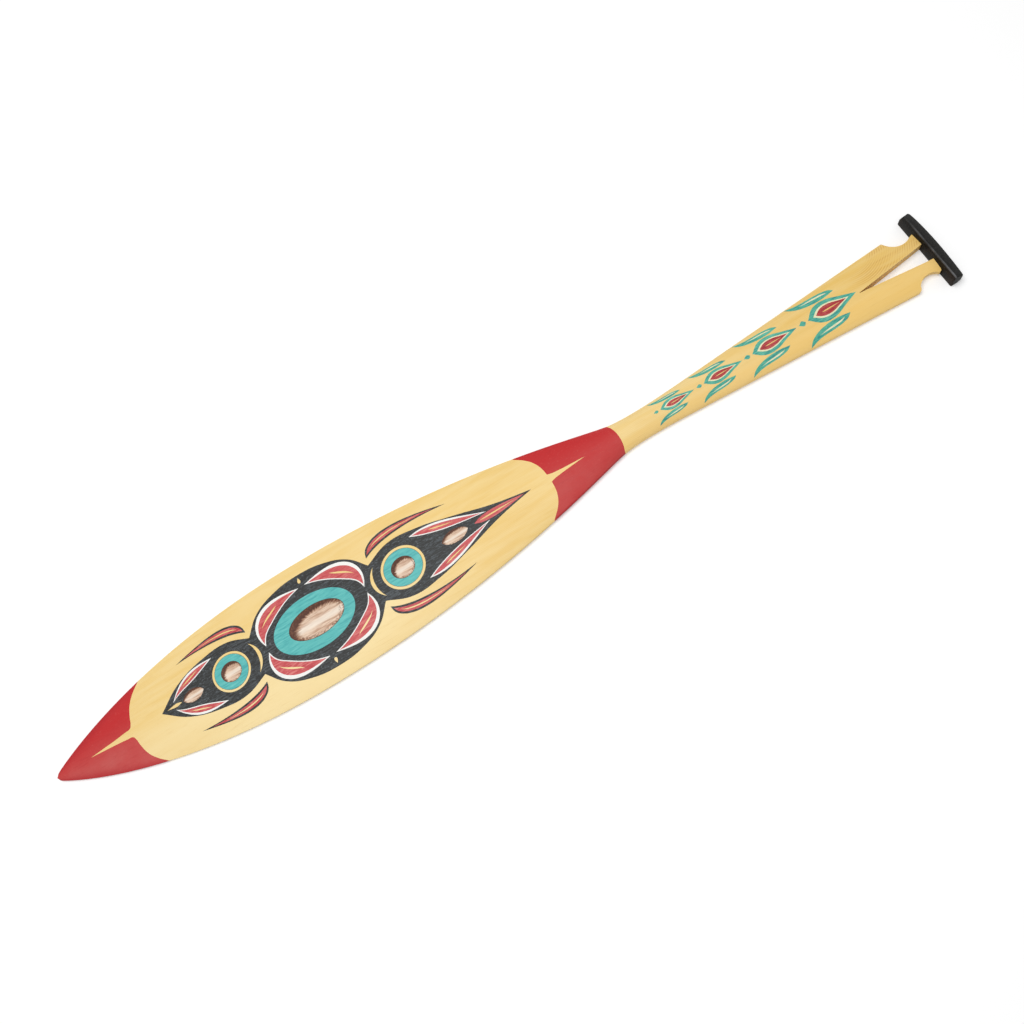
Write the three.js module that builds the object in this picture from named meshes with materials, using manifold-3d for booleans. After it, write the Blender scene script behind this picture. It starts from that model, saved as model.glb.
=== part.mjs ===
// Carved paddle. One cedar plank is worked into a long leaf blade, a shaft that flares towards the
// hand, and a forked head with two scalloped prongs. A black cross grip butts against the prongs
// and is pegged to each by a hidden dowel.
// The paddle lies on its flat back: +X runs from the blade's tip to the grip, +Z is up, and the
// origin is under the middle of the whole object. Lengths are in millimetres.

import * as THREE from 'three';
import { mergeVertices } from 'three/addons/utils/BufferGeometryUtils.js';
import Module from 'manifold-3d';

const wasm = await Module();
wasm.setup();

// Plan of the body, measured along X from the tip
const bladeLength = 1013;
const bladeWidth = 195;
const bellyAt = 454;
const tipNoseWidth = 2;
const tipShoulderWidth = 9.4;
const tipRounding = 8;
const tipSlope = 0.53;
const tipFullness = 62;
const bellyFullnessTip = 241;
const bellyFullnessShoulder = 276;
const neckSlope = 0.23;
const neckFullness = 56;
const throatWidth = 37.8;
const throatEaseBlade = 32;
const throatEaseShaft = 90;
const shaftLength = 495;
const headWidth = 99.8;

// Thickness of the body at its middle, and the band between which its edge stands upright
const tipSection = { crown: 6.5, upper: 4.8, lower: 2.5 };
const bellySection = { crown: 14, upper: 8, lower: 4.5 };
const shoulderSection = { crown: 17, upper: 9, lower: 5 };
const shaftSection = { crown: 22, upper: 9, lower: 5 };
const forkSection = { crown: 20.5, upper: 8.5, lower: 4.5 };
const prongSection = { crown: 16, upper: 7.5, lower: 4 };
const shoulderBeforeThroat = 135;
const shaftStartAfterThroat = 15;
const crownRoundness = 0.7;
const backEase = 7;
const backEaseShare = 0.45;

// Fork: a V slot between two prongs, each with a scalloped neck for the fingers
const slotLength = 114;
const slotMouth = 27.8;
const slotKerf = 0.8;
const slotRootOffset = -4;
const slotMouthOffset = -1.8;
const scallopRadius = 22;
const scallopBeforeEnd = 19;
const scallopUnderEase = 4.5;
const scallopUnderEaseHeight = 6;
const neckHalfWidth = 29.2;
const prongStraight = 6;
const prongEndHalfWidth = 35.2;
const prongs = [
  { name: 'left', side: 1, cornerRounding: 3.5, endRounding: 1 },
  { name: 'right', side: -1, cornerRounding: 8, endRounding: 4 },
];

// Cross grip
const gripLength = 123.5;
const gripOffset = 1.1;
const gripDepth = 17.8;
const gripHeight = 25;
const gripBow = 3.5;
const gripNearHeight = 15;
const gripFarHeight = 17.5;
const gripRidgeSetback = 1.6;
const gripRidgeFlat = 1.2;
const gripLowEase = 0.6;
const gripFarLowEase = 5;
const gripEndEase = 2.6;
const gripEndInset = 1.3;
const gripEndCurve = [[0, 1], [0.3, 0.35], [1, 0]];
const jointGap = 0.3;

// Dowels that peg the prongs to the grip
const dowelDiameter = 8;
const dowelChamfer = 1;
const dowelInProng = 24;
const dowelInGrip = 11;
const dowelFromMiddle = 20.5;
const dowelHeight = 8;
const boreClearance = 0.35;

// Shallow hollows gouged in the face of the blade, each at its distance from the tip
const hollows = [
  { at: 249, length: 42, width: 19, depth: 2.2, pointed: true },
  { at: 318, length: 34, width: 30, depth: 2.6, pointed: false },
  { at: 470, length: 94, width: 48, depth: 3.6, pointed: false },
  { at: 622, length: 38, width: 32, depth: 2.8, pointed: false },
  { at: 712, length: 52, width: 20, depth: 2.4, pointed: true },
];
const gougeRadius = 9;

const bodyLength = bladeLength + shaftLength;
const overallLength = bodyLength + jointGap + gripDepth;
const cutOverrun = 10;
const cutSkin = 0.05;

// Half of the body's outline in plan, from the tip to the prong ends
const plan = new THREE.Path();
const tipEnd = new THREE.Vector2(tipRounding, tipShoulderWidth / 2 + tipRounding * tipSlope);
const tipLine = new THREE.Vector2(1, tipSlope).normalize().multiplyScalar(tipFullness);
const neckEnd = new THREE.Vector2(
  bladeLength - throatEaseBlade,
  throatWidth / 2 + throatEaseBlade * neckSlope,
);
const neckLine = new THREE.Vector2(1, -neckSlope).normalize().multiplyScalar(neckFullness);
const shaftFlare = (headWidth - throatWidth) / 2 / shaftLength;
plan.moveTo(0, tipNoseWidth / 2);
plan.quadraticCurveTo(0, tipShoulderWidth / 2, tipEnd.x, tipEnd.y);
plan.bezierCurveTo(
  tipEnd.x + tipLine.x, tipEnd.y + tipLine.y,
  bellyAt - bellyFullnessTip, bladeWidth / 2,
  bellyAt, bladeWidth / 2,
);
plan.bezierCurveTo(
  bellyAt + bellyFullnessShoulder, bladeWidth / 2,
  neckEnd.x - neckLine.x, neckEnd.y - neckLine.y,
  neckEnd.x, neckEnd.y,
);
plan.quadraticCurveTo(
  bladeLength, throatWidth / 2,
  bladeLength + throatEaseShaft, throatWidth / 2 + throatEaseShaft * shaftFlare,
);
plan.lineTo(bodyLength, headWidth / 2);
const planPoints = plan.getPoints(80);

// Half of the body's width at a distance from the tip
function halfWidthAt(x) {
  const next = planPoints.findIndex((point) => point.x >= x);
  if (next < 1) return planPoints[next === 0 ? 0 : planPoints.length - 1].y;
  const a = planPoints[next - 1];
  const b = planPoints[next];
  return THREE.MathUtils.mapLinear(x, a.x, b.x, a.y, b.y);
}

// The sections by their distance from the tip
const sections = [
  [0, tipSection],
  [bellyAt, bellySection],
  [bladeLength - shoulderBeforeThroat, shoulderSection],
  [bladeLength + shaftStartAfterThroat, shaftSection],
  [bodyLength - slotLength, forkSection],
  [bodyLength, prongSection],
];

// A height of the section at x, on a smooth curve that never overshoots the named sections
function heightAt(x, key) {
  const stop = (i) => sections[THREE.MathUtils.clamp(i, 0, sections.length - 1)];
  const rise = (i) => (stop(i + 1)[1][key] - stop(i)[1][key]) / (stop(i + 1)[0] - stop(i)[0]);
  const slope = (i) => {
    if (i === 0 || i === sections.length - 1 || rise(i - 1) * rise(i) <= 0) return 0;
    return Math.abs(rise(i)) < Math.abs(rise(i - 1)) ? rise(i) : rise(i - 1);
  };
  let i = 0;
  while (i < sections.length - 2 && x > stop(i + 1)[0]) i += 1;
  const span = stop(i + 1)[0] - stop(i)[0];
  const t = (x - stop(i)[0]) / span;
  const start = stop(i)[1][key];
  const end = stop(i + 1)[1][key];
  return start * (1 + 2 * t) * (1 - t) ** 2
    + slope(i) * span * t * (1 - t) ** 2
    + end * t * t * (3 - 2 * t)
    - slope(i + 1) * span * t * t * (1 - t);
}

// The height of the blade's crowned face on its middle line
const faceAt = (x) => heightAt(x, 'crown');

// A closed body through rings that hold the same number of points
function loft(rings) {
  const count = rings[0].length;
  const index = [];
  for (let r = 0; r < rings.length - 1; r += 1) {
    for (let p = 0; p < count; p += 1) {
      const here = r * count + p;
      const beside = r * count + ((p + 1) % count);
      index.push(here, beside, here + count, beside, beside + count, here + count);
    }
  }
  const last = (rings.length - 1) * count;
  for (let p = 1; p < count - 1; p += 1) {
    index.push(0, p + 1, p);
    index.push(last, last + p, last + p + 1);
  }
  const geometry = new THREE.BufferGeometry().setFromPoints(rings.flat());
  geometry.setIndex(index);
  return geometry;
}

// The body's section at x: flat back, eased lower edge, upright rim and crowned face
function bodyRing(x) {
  const half = halfWidthAt(x);
  const ease = Math.min(backEase, half * backEaseShare);
  const crown = heightAt(x, 'crown');
  const upper = heightAt(x, 'upper');
  const lower = heightAt(x, 'lower');
  const edgeSteps = 3;
  const crownSteps = 6;
  const side = [];
  for (let i = 0; i <= edgeSteps; i += 1) {
    const angle = (i / edgeSteps) * Math.PI / 2;
    side.push([half - ease + ease * Math.sin(angle), lower * (1 - Math.cos(angle))]);
  }
  for (let i = 0; i < crownSteps; i += 1) {
    const angle = (i / crownSteps) * Math.PI / 2;
    const rise = (crown - upper) * Math.sin(angle) ** (2 * crownRoundness);
    side.push([half * Math.cos(angle), upper + rise]);
  }
  const right = side.map(([y, z]) => new THREE.Vector3(x, y, z));
  const left = side.map(([y, z]) => new THREE.Vector3(x, -y, z)).reverse();
  return [...right, new THREE.Vector3(x, 0, crown), ...left];
}

// Places from a up to but not including b, closer together near a when the power is over 1
function spread(a, b, count, power = 1) {
  return Array.from({ length: count }, (_, i) => a + (b - a) * (i / count) ** power);
}

const bodyStations = [
  ...spread(0, tipRounding, 3),
  ...spread(tipRounding, bellyAt, 18, 1.4),
  ...spread(bellyAt, neckEnd.x, 16),
  ...spread(neckEnd.x, bladeLength + throatEaseShaft, 10),
  ...spread(bladeLength + throatEaseShaft, bodyLength - slotLength, 7),
  ...spread(bodyLength - slotLength, bodyLength, 9),
  bodyLength,
];

// Geometry to a solid for cutting, and back
function toSolid(geometry) {
  const bare = geometry.clone();
  bare.deleteAttribute('normal');
  bare.deleteAttribute('uv');
  const merged = mergeVertices(bare, 1e-4);
  return new wasm.Manifold(new wasm.Mesh({
    numProp: 3,
    vertProperties: new Float32Array(merged.attributes.position.array),
    triVerts: new Uint32Array(merged.index.array),
  }));
}

function toGeometry(solid) {
  const mesh = solid.getMesh();
  const geometry = new THREE.BufferGeometry();
  geometry.setAttribute('position', new THREE.BufferAttribute(mesh.vertProperties, 3));
  geometry.setIndex(new THREE.BufferAttribute(mesh.triVerts, 1));
  geometry.computeVertexNormals();
  return geometry;
}

// An outline in plan, cut through the whole thickness of the head
function throughHead(outline) {
  const depth = forkSection.crown + 2 * cutOverrun;
  const geometry = new THREE.ExtrudeGeometry(outline, { depth, bevelEnabled: false, curveSegments: 14 });
  return geometry.translate(0, 0, -cutOverrun);
}

// The V slot, from a saw kerf at its root to the prong ends
function slotCutter() {
  const root = bodyLength - slotLength;
  const overrun = 1 + cutOverrun / slotLength;
  const outline = new THREE.Shape();
  const wall = (side) => {
    const start = slotRootOffset + side * slotKerf / 2;
    const end = slotMouthOffset + side * slotMouth / 2;
    return [start, start + (end - start) * overrun];
  };
  const [rightRoot, rightMouth] = wall(-1);
  const [leftRoot, leftMouth] = wall(1);
  outline.moveTo(root, rightRoot);
  outline.lineTo(bodyLength + cutOverrun, rightMouth);
  outline.lineTo(bodyLength + cutOverrun, leftMouth);
  outline.lineTo(root, leftRoot);
  return throughHead(outline);
}

// What is cut from the outside of one prong: the rounded corner of the head, the finger scallop,
// and the prong's own straight end
function scallopCutter({ side, cornerRounding, endRounding }) {
  const centreX = bodyLength - scallopBeforeEnd;
  const centreY = neckHalfWidth + scallopRadius;
  const edgeAt = (x) => halfWidthAt(x) - side * slotMouthOffset;
  const outward = edgeAt(bodyLength) + cutOverrun;
  const arcStart = Math.asin((centreY - (edgeAt(centreX) - cornerRounding)) / scallopRadius);
  const arcEnd = Math.acos((prongStraight - scallopBeforeEnd) / scallopRadius);
  const startX = centreX - scallopRadius * Math.cos(arcStart);
  const cornerX = startX - cornerRounding;
  const across = (y) => slotMouthOffset + side * y;
  const outline = new THREE.Shape();
  outline.moveTo(cornerX, across(outward));
  outline.lineTo(cornerX, across(edgeAt(cornerX) + cutSkin));
  outline.quadraticCurveTo(
    startX, across(edgeAt(startX)),
    startX, across(centreY - scallopRadius * Math.sin(arcStart)),
  );
  const firstAngle = Math.PI + arcStart;
  const lastAngle = 2 * Math.PI - (Math.PI - arcEnd);
  outline.absarc(centreX, across(centreY), scallopRadius, side * firstAngle, side * lastAngle, side < 0);
  outline.lineTo(bodyLength - endRounding, across(prongEndHalfWidth));
  outline.quadraticCurveTo(
    bodyLength, across(prongEndHalfWidth),
    bodyLength, across(prongEndHalfWidth - endRounding),
  );
  outline.lineTo(bodyLength + cutOverrun, across(prongEndHalfWidth - endRounding));
  outline.lineTo(bodyLength + cutOverrun, across(outward));
  return throughHead(outline);
}

// The eased lower arris of a scallop, cut by a cone that widens downwards
function scallopUnderCutter({ side }) {
  const overrun = 1 + cutOverrun / scallopUnderEaseHeight;
  const cone = new THREE.CylinderGeometry(
    scallopRadius,
    scallopRadius + scallopUnderEase * overrun,
    scallopUnderEaseHeight * overrun,
    56,
  ).rotateX(Math.PI / 2);
  const centreY = slotMouthOffset + side * (neckHalfWidth + scallopRadius);
  const centreZ = scallopUnderEaseHeight * (1 - overrun / 2);
  return cone.translate(bodyLength - scallopBeforeEnd, centreY, centreZ);
}

// A gouged bowl in the face; a pointed one is where two long bowls meet
function hollowCutter({ at, length, width, depth, pointed }) {
  const lift = gougeRadius - depth;
  const spreadOut = 1 / Math.sqrt(1 - (lift / gougeRadius) ** 2);
  const bowl = (bowlWidth, aside) => {
    const geometry = new THREE.SphereGeometry(1, 32, 24).rotateX(Math.PI / 2);
    geometry.scale(length / 2 * spreadOut, bowlWidth / 2 * spreadOut, gougeRadius);
    return toSolid(geometry.translate(at, aside, faceAt(at) + lift));
  };
  if (!pointed) return bowl(width, 0);
  return bowl(width * 2, width / 2).intersect(bowl(width * 2, -width / 2));
}

const dowelLength = dowelInProng + dowelInGrip;
const dowelStart = bodyLength + jointGap / 2 - dowelInProng;

// A round hole for a dowel, clear of it all round and at both ends
function boreCutter(side) {
  const radius = dowelDiameter / 2 + boreClearance;
  const length = dowelLength + 2 * boreClearance;
  const geometry = new THREE.CylinderGeometry(radius, radius, length, 28).rotateZ(Math.PI / 2);
  const middle = dowelStart + dowelLength / 2;
  return toSolid(geometry.translate(middle, slotMouthOffset + side * dowelFromMiddle, dowelHeight));
}

function paddleBody() {
  let solid = toSolid(loft(bodyStations.map(bodyRing)));
  solid = solid.subtract(toSolid(slotCutter()));
  for (const prong of prongs) {
    solid = solid.subtract(toSolid(scallopCutter(prong)));
    solid = solid.subtract(toSolid(scallopUnderCutter(prong)));
    solid = solid.subtract(boreCutter(prong.side));
  }
  for (const hollow of hollows) solid = solid.subtract(hollowCutter(hollow));
  return toGeometry(solid);
}

// The grip's section at y: upright near face, ridge along the top, bowed far face.
// Inset draws the whole outline in, for the eased ends.
function gripRing(y, inset) {
  const near = bodyLength + jointGap;
  const depth = gripDepth - gripBow * (2 * y / gripLength) ** 2;
  const outline = [
    [gripLowEase, inset],
    [inset, gripLowEase + inset],
    [inset, gripNearHeight - inset],
    [gripRidgeSetback, gripHeight - inset],
    [gripRidgeSetback + gripRidgeFlat, gripHeight - inset],
    [depth - inset, gripFarHeight - inset],
    [depth - inset, gripFarLowEase + inset],
    [depth - gripFarLowEase, inset],
  ];
  return outline.map(([x, z]) => new THREE.Vector3(near + x, gripOffset + y, z));
}

function crossGrip() {
  const half = gripLength / 2;
  const ends = gripEndCurve.map(([along, inset]) => [along * gripEndEase, inset * gripEndInset]);
  const middleSteps = 8;
  const middle = spread(-half + gripEndEase, half - gripEndEase, middleSteps).slice(1);
  const rings = [
    ...ends.map(([along, inset]) => gripRing(-half + along, inset)),
    ...middle.map((y) => gripRing(y, 0)),
    ...ends.reverse().map(([along, inset]) => gripRing(half - along, inset)),
  ];
  let solid = toSolid(loft(rings));
  for (const prong of prongs) solid = solid.subtract(boreCutter(prong.side));
  return toGeometry(solid);
}

function gripDowel() {
  const radius = dowelDiameter / 2;
  const profile = [
    new THREE.Vector2(0, 0),
    new THREE.Vector2(radius - dowelChamfer, 0),
    new THREE.Vector2(radius, dowelChamfer),
    new THREE.Vector2(radius, dowelLength - dowelChamfer),
    new THREE.Vector2(radius - dowelChamfer, dowelLength),
    new THREE.Vector2(0, dowelLength),
  ];
  return new THREE.LatheGeometry(profile, 24).rotateZ(-Math.PI / 2);
}

const cedar = new THREE.MeshStandardMaterial({ color: 0xf0d193, roughness: 0.6, metalness: 0 });
const blackPaint = new THREE.MeshStandardMaterial({ color: 0x262524, roughness: 0.45, metalness: 0 });
const dowelWood = new THREE.MeshStandardMaterial({ color: 0xd9b987, roughness: 0.7, metalness: 0 });

function named(name, geometry, material) {
  const mesh = new THREE.Mesh(geometry, material);
  mesh.name = name;
  return mesh;
}

const paddle = new THREE.Group();
paddle.add(named('paddle_body', paddleBody(), cedar));
paddle.add(named('cross_grip', crossGrip(), blackPaint));
for (const { name, side } of prongs) {
  const dowel = named(`grip_dowel_${name}`, gripDowel(), dowelWood);
  dowel.position.set(dowelStart, slotMouthOffset + side * dowelFromMiddle, dowelHeight);
  paddle.add(dowel);
}
paddle.position.x = -overallLength / 2;

export default paddle;
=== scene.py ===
import bisect
import math

import bpy
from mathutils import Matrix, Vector, noise


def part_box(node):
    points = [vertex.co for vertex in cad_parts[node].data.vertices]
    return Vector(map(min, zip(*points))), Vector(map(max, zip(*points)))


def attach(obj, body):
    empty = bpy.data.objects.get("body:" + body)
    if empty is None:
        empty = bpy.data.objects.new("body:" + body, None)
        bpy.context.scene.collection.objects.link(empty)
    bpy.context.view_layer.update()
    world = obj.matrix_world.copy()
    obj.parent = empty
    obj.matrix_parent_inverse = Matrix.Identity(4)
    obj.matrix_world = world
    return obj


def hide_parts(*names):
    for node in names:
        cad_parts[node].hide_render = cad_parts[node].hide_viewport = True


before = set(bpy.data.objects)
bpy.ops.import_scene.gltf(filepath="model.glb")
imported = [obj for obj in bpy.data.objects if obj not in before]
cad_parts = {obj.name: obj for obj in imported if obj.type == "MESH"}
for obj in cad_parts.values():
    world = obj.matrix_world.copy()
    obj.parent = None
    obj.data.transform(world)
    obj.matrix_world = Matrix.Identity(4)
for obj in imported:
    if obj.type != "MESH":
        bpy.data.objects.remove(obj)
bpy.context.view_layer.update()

# The carved paddle's looks, round the fixed CAD frame. Outlines are written in millimetres:
# x from the blade's tip towards the grip, y across towards the left prong, z up from the back.
MM = 0.001
body_low, body_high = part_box("paddle_body")
grip_low, grip_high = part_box("cross_grip")
TIP_X = body_low.x

# Plan of the body, as carved
BLADE_LENGTH = 1013
BLADE_WIDTH = 195
BELLY_AT = 454
TIP_NOSE_WIDTH = 2
TIP_SHOULDER_WIDTH = 9.4
TIP_ROUNDING = 8
TIP_SLOPE = 0.53
TIP_FULLNESS = 62
BELLY_FULLNESS_TIP = 241
BELLY_FULLNESS_SHOULDER = 276
NECK_SLOPE = 0.23
NECK_FULLNESS = 56
THROAT_WIDTH = 37.8
THROAT_EASE_BLADE = 32
THROAT_EASE_SHAFT = 90
BODY_LENGTH = (body_high.x - body_low.x) / MM
SHAFT_LENGTH = BODY_LENGTH - BLADE_LENGTH
HEAD_WIDTH = 99.8
SLOT_LENGTH = 114
CROWN_ROUNDNESS = 0.7
BACK_EASE = 7
BACK_EASE_SHARE = 0.45
PLAN_STEPS = 80
EDGE_STEPS = 7
CROWN_STEPS = 18

# Sections: each has its distance from the tip, the height of its crown, and the upper and lower end of
# the upright band at its edge
SHOULDER_BEFORE_THROAT = 135
SHAFT_AFTER_THROAT = 15
AT, CROWN, UPPER, LOWER = range(4)
SECTIONS = [
    (0, 6.5, 4.8, 2.5),
    (BELLY_AT, 14, 8, 4.5),
    (BLADE_LENGTH - SHOULDER_BEFORE_THROAT, 17, 9, 5),
    (BLADE_LENGTH + SHAFT_AFTER_THROAT, 22, 9, 5),
    (BODY_LENGTH - SLOT_LENGTH, 20.5, 8.5, 4.5),
    (BODY_LENGTH, 16, 7.5, 4),
]

# Fork. Where a size has two values, 1 is the left side's and -1 the right side's.
SLOT_MOUTH = 27.8
SLOT_KERF = 0.8
SLOT_ROOT_OFFSET = -4
SLOT_MOUTH_OFFSET = -1.8
SCALLOP_RADIUS = 22
SCALLOP_BEFORE_END = 19
SCALLOP_UNDER_EASE = 4.5
SCALLOP_UNDER_EASE_HEIGHT = 6
NECK_HALF_WIDTH = 29.2
PRONG_STRAIGHT = 6
PRONG_END_HALF_WIDTH = 35.2
HEAD_CORNER_ROUNDING = {1: 3.5, -1: 8}
PRONG_END_ROUNDING = {1: 1, -1: 4}
ARC_STEPS = 24
CORNER_STEPS = 6

# What cuts right through: its lowest and highest level, and how far it runs past an edge
CUT_LOW = -5
CUT_HIGH = 40
CUT_OVERRUN = 10
CUT_CLEARANCE = 0.05

# Cross grip. Its section is set in at the ends by millimetres, each at a share of the way along the
# ends' easing. The ridge falls at each end, and the upper arrises fall by a share of that.
GRIP_LENGTH = (grip_high.y - grip_low.y) / MM
GRIP_MIDDLE = (grip_high.y + grip_low.y) / 2 / MM
GRIP_DEPTH = (grip_high.x - grip_low.x) / MM
GRIP_HEIGHT = (grip_high.z - grip_low.z) / MM
GRIP_BOW = {1: 3.5, -1: 2.2}
GRIP_NEAR_HEIGHT = 15
GRIP_FAR_HEIGHT = 17.5
GRIP_RIDGE_SETBACK = 1.6
GRIP_RIDGE_FLAT = 1.2
GRIP_LOW_EASE = 0.6
GRIP_FAR_LOW_EASE = 5
GRIP_END_EASE = 2.6
GRIP_END_INSETS = [(0, 1), (0.3, 0.35), (1, 0)]
GRIP_LEFT_REACH = 1.2
GRIP_END_FALL = {1: 6.5, -1: 0.8}
GRIP_END_FALL_LENGTH = {1: 16, -1: 3}
GRIP_NEAR_FALL = 0.5
GRIP_FAR_FALL = 0.25
GRIP_RIDGE_DRAW = 0.28
GRIP_STATIONS = 44
GRIP_BEVEL = 0.8
GRIP_BEVEL_ANGLE = 22

# Hollows gouged in the blade's face
HOLLOWS = {
    "tip_hollow": {"at": 249, "length": 42, "width": 19, "depth": 2.2, "pointed": True},
    "small_hollow": {"at": 318, "length": 34, "width": 30, "depth": 2.6, "pointed": False},
    "main_hollow": {"at": 470, "length": 94, "width": 48, "depth": 3.6, "pointed": False},
    "second_hollow": {"at": 622, "length": 38, "width": 32, "depth": 2.8, "pointed": False},
    "shoulder_hollow": {"at": 712, "length": 52, "width": 20, "depth": 2.4, "pointed": True},
}
GOUGE_RADIUS = 9

# The gouge's ripple: how often it comes in a metre along and across, its height in metres, and its noise
RIPPLE_ALONG = 45
RIPPLE_ACROSS = 230
RIPPLE_HEIGHT = 0.00016
RIPPLE_BIAS = 0.4
RIPPLE_SEED = 3.1

# The scorched lining of a hollow: how far it stands out, where its block starts, how far it reaches
# past the rim, along the paddle and under the hollow, and how much shallower it is gouged
LINING_COAT = 0.05
LINING_LOW = 1
LINING_MARGIN = 0.8
LINING_OVERLAP = 4
LINING_THICKNESS = 1.2
LINING_LIFT = 0.12

# How far each coat of paint stands proud of the wood, how deep it is let in, where it lies, and how
# fine the skin is that it is cut from
BLACK_COAT = 0.08
WHITE_COAT = 0.13
COLOUR_COAT = 0.18
SHAFT_COAT = 0.08
PAINT_DEPTH = 0.3
PAINT_LOW = 2
PAINT_GAP = 0.4
BLADE_PAINT = (180, 850)
SHAFT_PAINT = (1045, 1400)
SKIN_STATION = 6
SKIN_STEPS = 16
SKIN_REACH = 0.97

# Distances in metres under which a mesh's points are merged
LOFT_MERGE = 0.000001
PRISM_MERGE = 0.00001

# Angles in degrees over which a surface keeps its edges sharp
COAT_ANGLE = 35
WOOD_ANGLE = 40
LINING_ANGLE = 50


def spot(x, y, z=0):
    """A place in the object's frame, in metres, from millimetres measured from the tip."""
    return Vector((TIP_X + x * MM, y * MM, z * MM))


def deselect():
    if bpy.context.object and bpy.context.object.mode != "OBJECT":
        bpy.ops.object.mode_set(mode="OBJECT")
    bpy.ops.object.select_all(action="DESELECT")


def choose(piece):
    deselect()
    piece.select_set(True)
    bpy.context.view_layer.objects.active = piece


def added(primitive, **settings):
    """What one of the operators for primitives adds."""
    deselect()
    primitive(**settings)
    return bpy.context.object


def linked(name, data):
    """A new object with the data, linked to the scene."""
    made = bpy.data.objects.new(name, data)
    bpy.context.scene.collection.objects.link(made)
    return made


def set_all(thing, settings):
    for name, value in settings.items():
        setattr(thing, name, value)


def apply_modifier(piece, kind, **settings):
    choose(piece)
    modifier = piece.modifiers.new(kind.lower(), kind)
    set_all(modifier, settings)
    bpy.ops.object.modifier_apply(modifier=modifier.name)


def cut(piece, tool, operation="DIFFERENCE", keep_tool=False):
    apply_modifier(piece, "BOOLEAN", operation=operation, solver="EXACT", object=tool)
    if not keep_tool:
        bpy.data.objects.remove(tool)
    return piece


def tidy_mesh(piece, merge):
    choose(piece)
    bpy.ops.object.mode_set(mode="EDIT")
    bpy.ops.mesh.select_all(action="SELECT")
    bpy.ops.mesh.remove_doubles(threshold=merge)
    bpy.ops.mesh.normals_make_consistent(inside=False)
    bpy.ops.object.mode_set(mode="OBJECT")
    return piece


def smooth(piece, angle):
    choose(piece)
    bpy.ops.object.shade_smooth_by_angle(angle=math.radians(angle))
    return piece


def copy_of(piece, name):
    twin = piece.copy()
    twin.data = piece.data.copy()
    twin.name = name
    bpy.context.scene.collection.objects.link(twin)
    return twin


def lofted(name, rings):
    """A cylinder primitive cut into rings, with each ring's points set where its section has them."""
    count = len(rings[0])
    cylinder = bpy.ops.mesh.primitive_cylinder_add
    piece = added(cylinder, vertices=count, radius=1, depth=1, end_fill_type="NGON")
    piece.name = name
    bpy.ops.object.mode_set(mode="EDIT")
    bpy.ops.mesh.select_mode(type="EDGE")
    bpy.ops.mesh.select_all(action="DESELECT")
    bpy.ops.object.mode_set(mode="OBJECT")
    mesh = piece.data
    for edge in mesh.edges:
        a, b = (mesh.vertices[i].co for i in edge.vertices)
        edge.select = abs(a.z - b.z) > 0.5
    bpy.ops.object.mode_set(mode="EDIT")
    bpy.ops.mesh.subdivide(number_cuts=len(rings) - 2)
    bpy.ops.object.mode_set(mode="OBJECT")
    for vertex in piece.data.vertices:
        ring = round((vertex.co.z + 0.5) * (len(rings) - 1))
        turn = math.atan2(vertex.co.x, vertex.co.y) / math.tau
        vertex.co = rings[ring][round(turn * count) % count]
    return tidy_mesh(piece, LOFT_MERGE)


# The body's form

def lerp(a, b, t):
    return a + (b - a) * t


def on_curve(points, t):
    """A point on a Bezier curve of any degree, found by dividing the lines between its points."""
    level = [Vector(p) for p in points]
    while len(level) > 1:
        level = [a.lerp(b, t) for a, b in zip(level, level[1:])]
    return level[0]


def bezier(points, steps):
    """Points along a Bezier curve, without its last one."""
    return [on_curve(points, i / steps) for i in range(steps)]


def plan_points():
    """Half of the body's outline in plan, from the tip to the prong ends."""
    tip_end = Vector((TIP_ROUNDING, TIP_SHOULDER_WIDTH / 2 + TIP_ROUNDING * TIP_SLOPE))
    tip_line = Vector((1, TIP_SLOPE)).normalized() * TIP_FULLNESS
    belly = Vector((BELLY_AT, BLADE_WIDTH / 2))
    neck_y = THROAT_WIDTH / 2 + THROAT_EASE_BLADE * NECK_SLOPE
    neck_end = Vector((BLADE_LENGTH - THROAT_EASE_BLADE, neck_y))
    neck_line = Vector((1, -NECK_SLOPE)).normalized() * NECK_FULLNESS
    throat = Vector((BLADE_LENGTH, THROAT_WIDTH / 2))
    flare = (HEAD_WIDTH - THROAT_WIDTH) / 2 / SHAFT_LENGTH
    shaft_start = throat + Vector((THROAT_EASE_SHAFT, THROAT_EASE_SHAFT * flare))
    before_belly = belly - Vector((BELLY_FULLNESS_TIP, 0))
    after_belly = belly + Vector((BELLY_FULLNESS_SHOULDER, 0))
    return [
        *bezier([(0, TIP_NOSE_WIDTH / 2), (0, TIP_SHOULDER_WIDTH / 2), tip_end], PLAN_STEPS),
        *bezier([tip_end, tip_end + tip_line, before_belly, belly], PLAN_STEPS),
        *bezier([belly, after_belly, neck_end - neck_line, neck_end], PLAN_STEPS),
        *bezier([neck_end, throat, shaft_start], PLAN_STEPS),
        shaft_start,
        Vector((BODY_LENGTH, HEAD_WIDTH / 2)),
    ]


PLAN = plan_points()
PLAN_X = [point.x for point in PLAN]


def half_width(x):
    i = min(max(bisect.bisect_left(PLAN_X, x), 1), len(PLAN) - 1)
    a, b = PLAN[i - 1], PLAN[i]
    return lerp(a.y, b.y, (x - a.x) / (b.x - a.x))


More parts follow.
